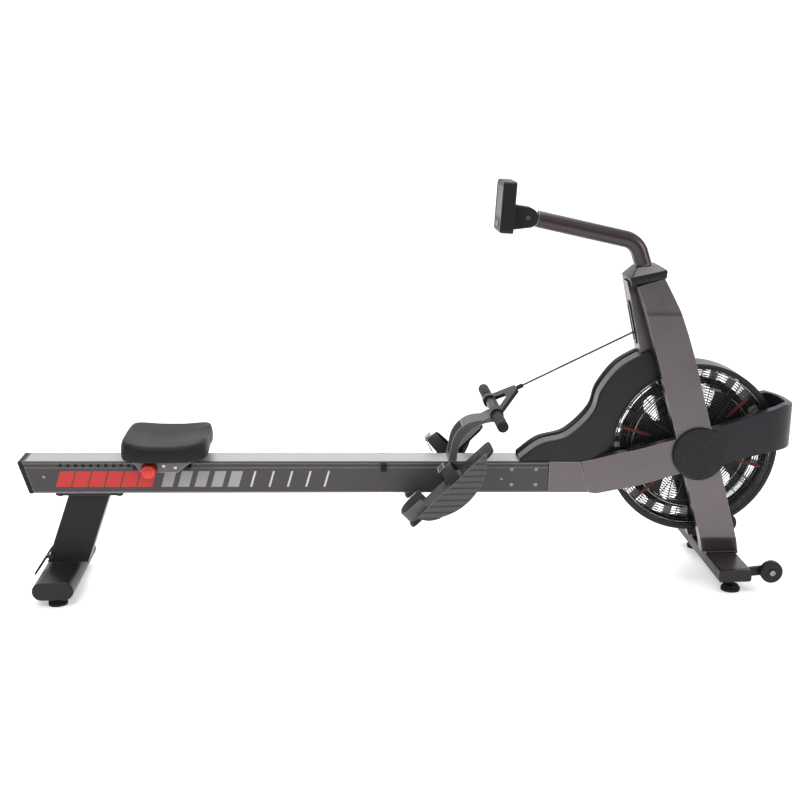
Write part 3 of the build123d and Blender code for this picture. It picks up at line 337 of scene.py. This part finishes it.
class Shape:
    """Points and faces gathered for one piece."""

    def __init__(self):
        self.points = []
        self.faces = []

    def rings(self, rings, loop=False):
        """Skins rings of equal counts and caps the ends, or joins the last to the first."""
        base = len(self.points)
        count = len(rings[0])
        for ring in rings:
            self.points.extend(ring)
        total = len(rings)
        for i in range(total if loop else total - 1):
            for j in range(count):
                a = base + i * count + j
                b = base + i * count + (j + 1) % count
                c = base + (i + 1) % total * count + (j + 1) % count
                d = base + (i + 1) % total * count + j
                self.faces.append((a, b, c, d))
        if not loop:
            self.faces.append(tuple(base + j for j in range(count))[::-1])
            self.faces.append(tuple(base + (total - 1) * count + j for j in range(count)))

    def lathe(self, x, z, profile, steps=96, flutes=0, depth=0.0):
        """A profile of (radius, y) turned about an axis along Y through (x, z)."""
        rings = []
        for radius, y in profile:
            ring = []
            for k in range(steps):
                turn = 2 * pi * k / steps
                wave = 1 - depth * (0.5 + 0.5 * cos(flutes * turn)) if flutes else 1
                ring.append(at(x + radius * wave * cos(turn), y, z + radius * wave * sin(turn)))
            rings.append(ring)
        self.rings(rings)

    def wire_ring(self, x, z, y, radius, wire, steps=112, sides=6):
        """A round wire bent to a circle square to Y."""
        rings = []
        for k in range(steps):
            turn = 2 * pi * k / steps
            ring = []
            for side in range(sides):
                a = 2 * pi * side / sides
                r = radius + wire * cos(a)
                ring.append(at(x + r * cos(turn), y + wire * sin(a), z + r * sin(turn)))
            rings.append(ring)
        self.rings(rings, loop=True)

    def tube(self, route, radius, sides=10, up=Vector((0, 1, 0))):
        """A round tube through points given in metres."""
        rings = []
        for k, point in enumerate(route):
            ahead = route[min(k + 1, len(route) - 1)] - route[max(k - 1, 0)]
            ahead.normalize()
            across = ahead.cross(up)
            if across.length < 1e-4:
                across = ahead.cross(Vector((1, 0, 0)))
            across.normalize()
            lift = across.cross(ahead)
            rings.append([point + radius * (cos(2 * pi * s / sides) * across
                                            + sin(2 * pi * s / sides) * lift)
                          for s in range(sides)])
        self.rings(rings)

    def slab(self, outline, y_low, y_high):
        """A flat outline of (x, z) in the rail frame, between two distances from the middle."""
        self.rings([[at(x, y, z) for x, z in outline] for y in (y_low, y_high)])

    def band(self, route, half_width, thickness, centre_y):
        """A flat strap through (x, z) points of the rail frame, its width along Y."""
        rings = []
        for k, (x, z) in enumerate(route):
            x0, z0 = route[max(k - 1, 0)]
            x1, z1 = route[min(k + 1, len(route) - 1)]
            long = hypot(x1 - x0, z1 - z0)
            nx, nz = -(z1 - z0) / long * thickness / 2, (x1 - x0) / long * thickness / 2
            rings.append([at(x + nx, centre_y - half_width, z + nz),
                          at(x + nx, centre_y + half_width, z + nz),
                          at(x - nx, centre_y + half_width, z - nz),
                          at(x - nx, centre_y - half_width, z - nz)])
        self.rings(rings)

    def place(self, name, material, body, slot, *replaced, **settings):
        return piece(name, self.points, self.faces, material, body, slot, *replaced, **settings)


# ---------------------------------------------------------------- cord
def add_cord():
    """The taut cord from the tower's pulley to the handle's swivel."""
    idler, swivel, lane = Vector((-158, 0, 396)), Vector((-532, 0, 232)), 21.3
    reach = hypot(swivel.x - idler.x, swivel.z - idler.z)
    rise = atan2(idler.z - swivel.z, idler.x - swivel.x) + asin(lane / reach)
    start = idler + lane * Vector((-sin(rise), 0, cos(rise)))
    finish = swivel + 0.3 * Vector((cos(rise), 0, sin(rise)))
    route = bpy.data.curves.new("cord_route", "CURVE")
    route.dimensions = "3D"
    line = route.splines.new("NURBS")
    line.points.add(2)
    for k, point in enumerate((start, (start + finish) / 2, finish)):
        line.points[k].co = (*at(*point), 1)
    line.order_u = 3
    line.use_endpoint_u = True
    line.resolution_u = 24
    guide = bpy.data.objects.new("cord_route", route)
    scene.collection.objects.link(guide)
    bpy.context.view_layer.update()
    graph = bpy.context.evaluated_depsgraph_get()
    thread = bpy.data.meshes.new_from_object(guide.evaluated_get(graph))
    path = [v.co.copy() for v in thread.vertices]
    bpy.data.objects.remove(guide)

    made = Shape()
    made.tube(path, 0.003, sides=14)
    mesh = bpy.data.meshes.new("pull_cord")
    mesh.from_pydata([tuple(p) for p in made.points], [], made.faces)
    mesh.materials.append(braid)
    mesh.shade_smooth()
    cord = bpy.data.objects.new("pull_cord", mesh)
    scene.collection.objects.link(cord)
    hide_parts("drive_cord")
    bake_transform(cord)


add_cord()


# ---------------------------------------------------------------- seat
def add_seat():
    """Moulded seat: squared plan, skirts down the sides, a top dished between front and rear."""
    centre_x, half_x, half_y = -1625.0, 132.5, 149.5
    steps = 128
    levels = ((0.50, 0, 38.5), (0.62, 0, 38.5), (0.64, 1, 38), (0.90, 1, 24), (0.955, 1, 22.3),
              (0.985, 1, 25), (0.995, 1, 32), (1.0, 1, 44), (0.997, 2, 56), (0.985, 2, 66),
              (0.968, 2, 71.5), (0.94, 2, 74.6), (0.90, 2, 75.8), (0.83, 2, 75.2),
              (0.72, 2, 74.0), (0.58, 2, 73.0), (0.42, 2, 72.2), (0.24, 2, 71.8),
              (0.03, 2, 71.6))
    made = Shape()
    rings = []
    for share, zone, height in levels:
        ring = []
        for k in range(steps):
            turn = 2 * pi * k / steps
            c, s = cos(turn), sin(turn)
            power = 2 / 4.6
            x = share * abs(c) ** power * (1 if c >= 0 else -1)
            y = share * abs(s) ** power * (1 if s >= 0 else -1)
            z = height
            if zone == 1:
                z += 12 * (1 - min(1.0, abs(y) / 0.62)) + 5 * max(0.0, x) ** 3
            if zone == 2:
                end = max(0.0, abs(x) - 0.25) / 0.75
                z += 10 * end ** 1.6 * (1.0 if x > 0 else 0.85) * min(1.0, (height - 44) / 27)
                z -= 4 * max(0.0, 1 - (x / 0.85) ** 2) * min(1.0, (height - 44) / 27)
                z -= 4 * max(0.0, 1 - (y / 0.5) ** 2) * max(0.0, 1 - (x / 0.8) ** 2)
                z -= 7 * max(0.0, abs(x) - 0.9) / 0.1 * (1 if height > 60 else 0)
                z -= 9 * max(0.0, x) ** 4 * max(0.0, 1 - (y / 0.45) ** 2)
            ring.append(at(centre_x + half_x * x, half_y * y, min(z, 85.8)))
        rings.append(ring)
    made.rings(rings)
    seat = made.place("moulded_seat", foam, "seat", "seat_foam", "seat_pad", angle=85)


add_seat()


def add_lock_knob():
    """Ribbed red knob on a dark boss, with a stepped face."""
    made = Shape()
    made.lathe(knob_x, groove_z, ((23, -92.4), (23, -113), (21.5, -117), (17, -119), (15, -118.2),
                            (13, -120), (1, -120.4)), steps=160, flutes=20, depth=0.07)
    made.place("ribbed_knob", red, "lock_knob", "red_plastic", "lock_knob", angle=50)


add_lock_knob()


def add_carriage_trim():
    """Dark boss under the knob, and two bolts in each side plate of the seat's carriage."""
    boss = Shape()
    boss.lathe(knob_x, groove_z, ((13, -84.1), (24, -84.1), (24, -88), (18, -90), (13, -90)),
               steps=64)
    boss.place("knob_boss", plastic, "seat", "black_plastic", angle=40)
    bolts = Shape()
    for hand in (-1, 1):
        for x, z in ((-1629, -3), (-1594, -8)):
            bolts.lathe(x, z, ((1, hand * (carriage_side - 1)), (5.5, hand * (carriage_side - 1)),
                               (5.5, hand * carriage_side), (4.6, hand * (carriage_side + 1.6)),
                               (1, hand * (carriage_side + 2.2))), steps=24)
    bolts.place("plate_bolts", steel, "seat", "steel", angle=40)


add_carriage_trim()


# ---------------------------------------------------------------- cage, fan and hub
def cone(radius):
    """Half width of the cage at a radius, between its rim and its hub."""
    return 48 + 26 * (258 - radius) / 198


def add_guards():
    """Fine concentric wires on radial ribs, on both sides of the fan."""
    for hand, name in ((-1, "near"), (1, "far")):
        made = Shape()
        for ring in range(25):
            radius = 68 + ring * 7.8
            made.wire_ring(0, axle_z, hand * (cone(radius) + 1.2), radius, 1.25)
        for rib in range(16):
            turn = radians(11.25 + 22.5 * rib)
            ends = [at(r * cos(turn), hand * (cone(r) - 0.8), axle_z + r * sin(turn))
                    for r in (58, 258)]
            route = [ends[0].lerp(ends[1], k / 6) for k in range(7)]
            made.tube(route, 0.0016, sides=6)
        made.lathe(0, axle_z, ((28, hand * 75.5), (62, hand * 75.5), (64, hand * 73.5),
                                (62, hand * 71.5), (28, hand * 71.5), (28, hand * 75.5)),
                   steps=72)
        made.place(f"wire_guard_{name}", wire_black, "root", "frame_black", f"guard_{name}",
                   angle=60)


add_guards()


def add_fan_accents():
    """Red strips between the fan's openings, carried by the blades."""
    made = Shape()
    for strip in range(6):
        turn = radians(44 + 60 * strip)
        along = (cos(turn), sin(turn))
        outline = []
        for r, w in ((140, -2), (160, -4), (224, -4), (230, 0), (224, 4), (160, 4), (140, 2)):
            outline.append((r * along[0] - w * along[1],
                            axle_z + r * along[1] + w * along[0]))
        made.slab(outline, -43.5, -40.5)
    made.place("fan_accents", accent, "fan", "red_plastic", angle=50)
    made = Shape()
    for radius in (192, 245):
        made.wire_ring(0, axle_z, -39, radius, 1.4)
        made.wire_ring(0, axle_z, 18, radius, 1.4)
    made.place("fan_hoops", steel, "fan", "steel", angle=60)


add_fan_accents()


def add_hub_covers():
    """Round covers over the axle's ends, with concentric ridges."""
    for hand, name in ((-1, "near"), (1, "far")):
        profile = [(74, hand * 117.5), (82, hand * 116.4), (82, hand * 125), (80.5, hand * 128.5),
                   (77, hand * 130)]
        radius = 74.0
        while radius > 8:
            profile += [(radius, hand * 128.0), (radius - 1.6, hand * 128.0),
                        (radius - 2.4, hand * 129.4), (radius - 5.0, hand * 129.4)]
            radius -= 6.2
        profile.append((1.0, hand * 128.6))
        made = Shape()
        made.lathe(0, axle_z, profile, steps=120)
        replaced = ("hub_covers",) if hand < 0 else ()
        made.place(f"hub_cover_{name}", plastic, "root", "black_plastic", *replaced, angle=30)


add_hub_covers()


def smooth_line(points, steps):
    """A Catmull-Rom line through points."""
    line = []
    for k in range(len(points) - 1):
        a = points[max(k - 1, 0)]
        b, c = points[k], points[k + 1]
        d = points[min(k + 2, len(points) - 1)]
        for step in range(steps):
            t = step / steps
            line.append(tuple(0.5 * (2 * b[i] + (c[i] - a[i]) * t
                                     + (2 * a[i] - 5 * b[i] + 4 * c[i] - d[i]) * t * t
                                     + (3 * b[i] - a[i] - 3 * c[i] + d[i]) * t ** 3)
                              for i in range(2)))
    line.append(tuple(points[-1]))
    return line


def add_shroud():
    """Soft-edged fender over the spool and the fan's rear edge, in two halves."""
    arc = [(267.5 * cos(radians(a)), axle_z + 267.5 * sin(radians(a)))
           for a in range(186, 110, -4)]
    back = smooth_line([(-160, 350), (-240, 304), (-298, 228), (-322, 156), (-394, 84),
                        (-478, 58), (-541, 10)], 8)
    outline = [(-541, 1.5), (-350, 1.5), (-318, 9.5), *arc, (-96, 352), *back]
    for hand, name in ((-1, "near"), (1, "far")):
        made = Shape()
        made.slab(outline, 0.2 * hand, 54 * hand)
        made.place(f"fender_{name}", satin, "root", "black_plastic", f"shroud_{name}",
                   angle=60)
        fender = bpy.data.objects[f"fender_{name}"]
        round_off = fender.modifiers.new("round", "BEVEL")
        round_off.width = 0.024
        round_off.segments = 7
        round_off.limit_method = "WEIGHT"
        weight = fender.data.attributes.new("bevel_weight_edge", "FLOAT", "EDGE")
        for edge in fender.data.edges:
            ends = [fender.data.vertices[v].co for v in edge.vertices]
            outer = all(abs(abs(p.y) - 0.054) < 1e-4 for p in ends)
            top = all(hypot(p.x - 0.884, p.z - 0.415) > 0.2720 for p in ends)
            weight.data[edge.index].value = 1.0 if outer and top else 0.0
        normals = fender.modifiers.new("normals", "WEIGHTED_NORMAL")
        normals.weight = 80


add_shroud()


def add_tower_cap():
    """Head cap: a black band with light chamfered faces on both sides of a flat top."""
    low = ((-222, 60, 545.5), (-222, -60, 545.5), (-119, -60, 574), (-119, 60, 574))
    middle = ((-230, 62, 573), (-230, -62, 573), (-118, -62, 598), (-118, 62, 598))
    top = ((-206, 34, 603), (-206, -34, 603), (-140, -34, 611), (-140, 34, 611))
    made = Shape()
    made.rings([[at(*p) for p in ring] for ring in (low, middle, top)])
    made.place("head_cap", satin, "root", "black_plastic", "tower_cap", bevel=0.003)
    faces = Shape()
    for hand in (-1, 1):
        ring = [(-222, 58.5, 576.2), (-126, 58.5, 597.4), (-143, 37, 609.2), (-204, 37, 601.9)]
        faces.rings([[at(x, hand * (y + k * 0.9), z + k * 1.1) for x, y, z in ring]
                     for k in (0, 1)])
    faces.place("head_cap_faces", cap_grey, "root", "frame_grey")


add_tower_cap()


def add_base_trim():
    """Painted highlight: light grey sheets on the black front base's top face, and weld beads round
    the legs' feet.
    """
    highlight_sheets = Shape()
    beads = Shape()
    for hand in (-1, 1):
        low, high = sorted((hand * 100, hand * 226))
        # Painted highlight on the base's top face, in the frame's grey paint.
        highlight_sheets.rings([[Vector((x, y, z)) for x, y in ((0.937, low / 1000), (1.017, low / 1000),
                                                      (1.017, high / 1000), (0.937, high / 1000))]
                      for z in (0.0810, 0.0822)])
        corners = ((0.925, 0.097), (1.027, 0.097), (1.027, 0.0575), (0.925, 0.0575))
        route = [Vector((x, hand * y, 0.0885)) for x, y in (*corners, corners[0])]
        beads.tube([a.lerp(b, k / 8) + Vector((0, 0, 0.0006 * (k % 2)))
                    for a, b in zip(route, route[1:]) for k in range(8)], 0.0022, sides=6)
    highlight_sheets.place("base_top_highlight", gunmetal, "root", "frame_grey")
    beads.place("weld_beads", gunmetal, "root", "frame_grey")


add_base_trim()


# ---------------------------------------------------------------- rail graphics and trim
def add_rail_print():
    """Plain slanted bars printed on the rail's sides: red, then grey, then thin light ones."""
    groups = (("red_bars", red_ink, -1961, -1656, 6, 45.0, "red_plastic"),
              ("grey_bars", grey_ink, -1643, -1393, 5, 34.0, "track_steel"),
              ("thin_bars", light_ink, -1372, -1127, 5, 6.0, "track_steel"))
    for name, material, low, high, count, wide, slot_name in groups:
        made = Shape()
        slant = 14.0
        pitch = (high - low - wide - slant) / (count - 1)
        for k in range(count):
            x = low + k * pitch
            for hand in (-1, 1):
                outline = [(x, -80), (x + wide, -80), (x + wide + slant, -30), (x + slant, -30)]
                made.slab(outline, hand * 50.02, hand * 50.3)
        made.place(name, material, "root", slot_name)


add_rail_print()


def add_rail_trim():
    """The rail's lower lip, the joint plate and its seam, and dark discs as painted shade inside
    the index holes.
    """
    lip = Shape()
    for hand in (-1, 1):
        lip.slab([(-2024, bottom_z), (-353, bottom_z), (-353, -95.5), (-2025, -95.5)],
                 hand * 49.5, hand * 50.8)
    lip.place("rail_lip", gunmetal, "root", "frame_grey")
    plate = Shape()
    for hand in (-1, 1):
        plate.slab([(-448, bottom_z), (-322, bottom_z), (-352, -0.6), (-448, -0.6)],
                   hand * 49.8, hand * 51.2)
    plate.place("joint_plate", gunmetal, "root", "frame_grey")
    seam = Shape()
    for hand in (-1, 1):
        seam.slab([(-450.4, -99.8), (-448.2, -99.8), (-448.2, -0.3), (-450.4, -0.3)],
                  hand * 49.8, hand * 50.3)
    seam.place("joint_seam", rubber, "root", "rubber")
    # Painted shade: dark discs laid inside the index holes, where only shade falls.
    holes = Shape()
    for hand in (-1, 1):
        for k in range(11):
            x = -1831.5 + 22.9 * (k - 5)
            disc = [(x + 5.6 * cos(2 * pi * t / 20), groove_z + 5.6 * sin(2 * pi * t / 20))
                    for t in range(20)]
            holes.slab(disc, hand * 46.9, hand * 47.3)
    holes.place("index_hole_shade", rubber, "root", "rubber")


add_rail_trim()


# ---------------------------------------------------------------- foot rest details
tilt = radians(45)


def on_foot(along, lift):
    """Rail-frame (x, z) of a point on the foot plate's plane, up the plate and off it."""
    return (-765 + along * cos(tilt) - lift * sin(tilt), -42 + along * sin(tilt) + lift * cos(tilt))


def with_y(point, y):
    """A rail-frame point from its (x, z) and its distance from the middle."""
    return (point[0], y, point[1])


def add_strap(hand, name):
    """Webbing over one foot, its loose tail and a steel buckle."""
    made = Shape()
    rings = []
    centre_y = hand * 140
    tall = 53 if hand < 0 else 81
    for k in range(33):
        turn = pi * k / 32
        ring = []
        for along, thick in ((7, 0), (45, 0), (45, 2.4), (7, 2.4)):
            across = (57.5 - thick) * cos(turn)
            lift = (tall - thick) * sin(turn)
            sag = 6 * sin(turn) ** 2 * (along - 7) / 38
            x, z = on_foot(along, max(0.5, lift - sag))
            ring.append(at(x, centre_y + across, z))
        rings.append(ring)
    made.rings(rings)
    tail = [on_foot(10 - 3 * k, tall - 1 - 1.2 * k * k) for k in range(7)]
    made.band(tail, 13, 2.0, centre_y)
    made.place(f"strap_{name}", webbing, "root", "webbing", *(("foot_straps",) if hand < 0 else ()),
               angle=45)
    buckle = Shape()
    for along in (4, 26):
        route = [at(*with_y(on_foot(along, tall + 2), centre_y + w)) for w in (-22, 0, 22)]
        buckle.tube(route, 0.0022, sides=8, up=Vector((0, 0, 1)))
    for w in (-22, 0, 22):
        route = [at(*with_y(on_foot(a, tall + 2), centre_y + w)) for a in (4, 15, 26)]
        buckle.tube(route, 0.0022, sides=8)
    buckle.place(f"buckle_{name}", bolt_steel, "root", "steel")


add_strap(-1, "near")
add_strap(1, "far")


# ---------------------------------------------------------------- studio
def add_studio():
    """Pale floor that curves up into a backdrop, a sky with a dark horizon, and three lamps.

    The camera sees the sky as plain white; only light and reflections get the dark horizon.
    """
    pale = surface("studio_floor", (0.92, 0.92, 0.92), 0.9, grain=40, bump=0.02, mottle=0.005)
    shader = pale.node_tree.nodes["Principled BSDF"]
    shader.inputs["Emission Color"].default_value = (1, 1, 1, 1)
    shader.inputs["Emission Strength"].default_value = 0.30
    profile = [(-9.0, 0.0), (3.2, 0.0)]
    profile += [(3.2 + 2.2 * sin(radians(a)), 2.2 - 2.2 * cos(radians(a))) for a in range(6, 91, 6)]
    profile.append((5.4, 7.0))
    points, faces = [], []
    for x in (-11, 11):
        points += [(x, y, z) for y, z in profile]
    count = len(profile)
    for k in range(count - 1):
        faces.append((k, k + 1, count + k + 1, count + k))
    mesh = bpy.data.meshes.new("floor")
    mesh.from_pydata(points, [], faces)
    mesh.materials.append(pale)
    mesh.shade_smooth()
    floor = bpy.data.objects.new("floor", mesh)
    scene.collection.objects.link(floor)

    world = bpy.data.worlds.new("studio")
    scene.world = world
    world.use_nodes = True
    tree = world.node_tree
    height = node(tree, "ShaderNodeSeparateXYZ")
    tree.links.new(node(tree, "ShaderNodeTexCoord").outputs["Generated"], height.inputs[0])
    rise = ranged(tree, height.outputs[2], 0.05, 0.55)
    glow = mix(tree, rise, (0.10, 0.10, 0.105), (1.0, 1.0, 1.0))
    seen = node(tree, "ShaderNodeLightPath").outputs["Is Camera Ray"]
    tree.links.new(mix(tree, seen, glow, (1.18, 1.18, 1.18)), tree.nodes["Background"].inputs[0])
    tree.nodes["Background"].inputs[1].default_value = 0.85
    for name, place, size, power in (("key", (-1.6, -3.0, 3.4), 1.6, 70),
                                     ("rim", (2.8, -1.2, 1.6), 1.2, 26),
                                     ("top", (0.0, 1.0, 3.6), 3.0, 110)):
        lamp = bpy.data.lights.new(name, "AREA")
        lamp.size = size
        lamp.energy = power
        light = bpy.data.objects.new(name, lamp)
        scene.collection.objects.link(light)
        light.location = place
        light.rotation_euler = (Vector((0, 0, 0.4)) - Vector(place)).to_track_quat(
            "-Z", "Y").to_euler()
    scene.view_settings.view_transform = "Standard"
    scene.view_settings.exposure = 0.0


add_studio()
